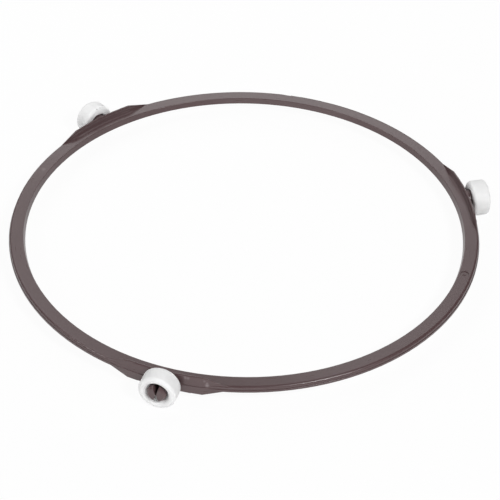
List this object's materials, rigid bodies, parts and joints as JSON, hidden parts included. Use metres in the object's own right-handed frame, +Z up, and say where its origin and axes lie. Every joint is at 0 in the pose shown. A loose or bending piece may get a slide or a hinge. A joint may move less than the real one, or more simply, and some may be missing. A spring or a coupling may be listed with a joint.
{
  "type": "microwave roller ring",
  "caption": "Flat moulded ring with raised bearing pads and clipped rollers, which carries a microwave oven's turntable tray and lets it turn.",
  "frame": {"origin": "on the ring's axis, at the level of the floor that the rollers stand on", "axes": "+Z up along the ring's axis, -Y towards the front roller"},
  "size_m": [0.202, 0.2107, 0.0155],
  "materials": {
    "ring_plastic": "moulded brown heat-resistant plastic, satin",
    "roller_plastic": "white low-friction plastic, smooth"
  },
  "bodies": {
    "ring": {"support_ring": "ring_plastic"},
    "front_roller": {"roller_front": "roller_plastic"},
    "right_roller": {"roller_right": "roller_plastic"},
    "left_roller": {"roller_left": "roller_plastic"}
  },
  "joints": [
    {"name": "front_roller_spin", "type": "hinge", "parent": "ring", "child": "front_roller", "pos_m": [0, -0.1053, 0.00775], "axis": [0, -1, 0], "continuous": true},
    {"name": "right_roller_spin", "type": "hinge", "parent": "ring", "child": "right_roller", "pos_m": [0.09119, 0.05265, 0.00775], "axis": [0.866, 0.5, 0], "continuous": true},
    {"name": "left_roller_spin", "type": "hinge", "parent": "ring", "child": "left_roller", "pos_m": [-0.09119, 0.05265, 0.00775], "axis": [-0.866, 0.5, 0], "continuous": true}
  ]
}
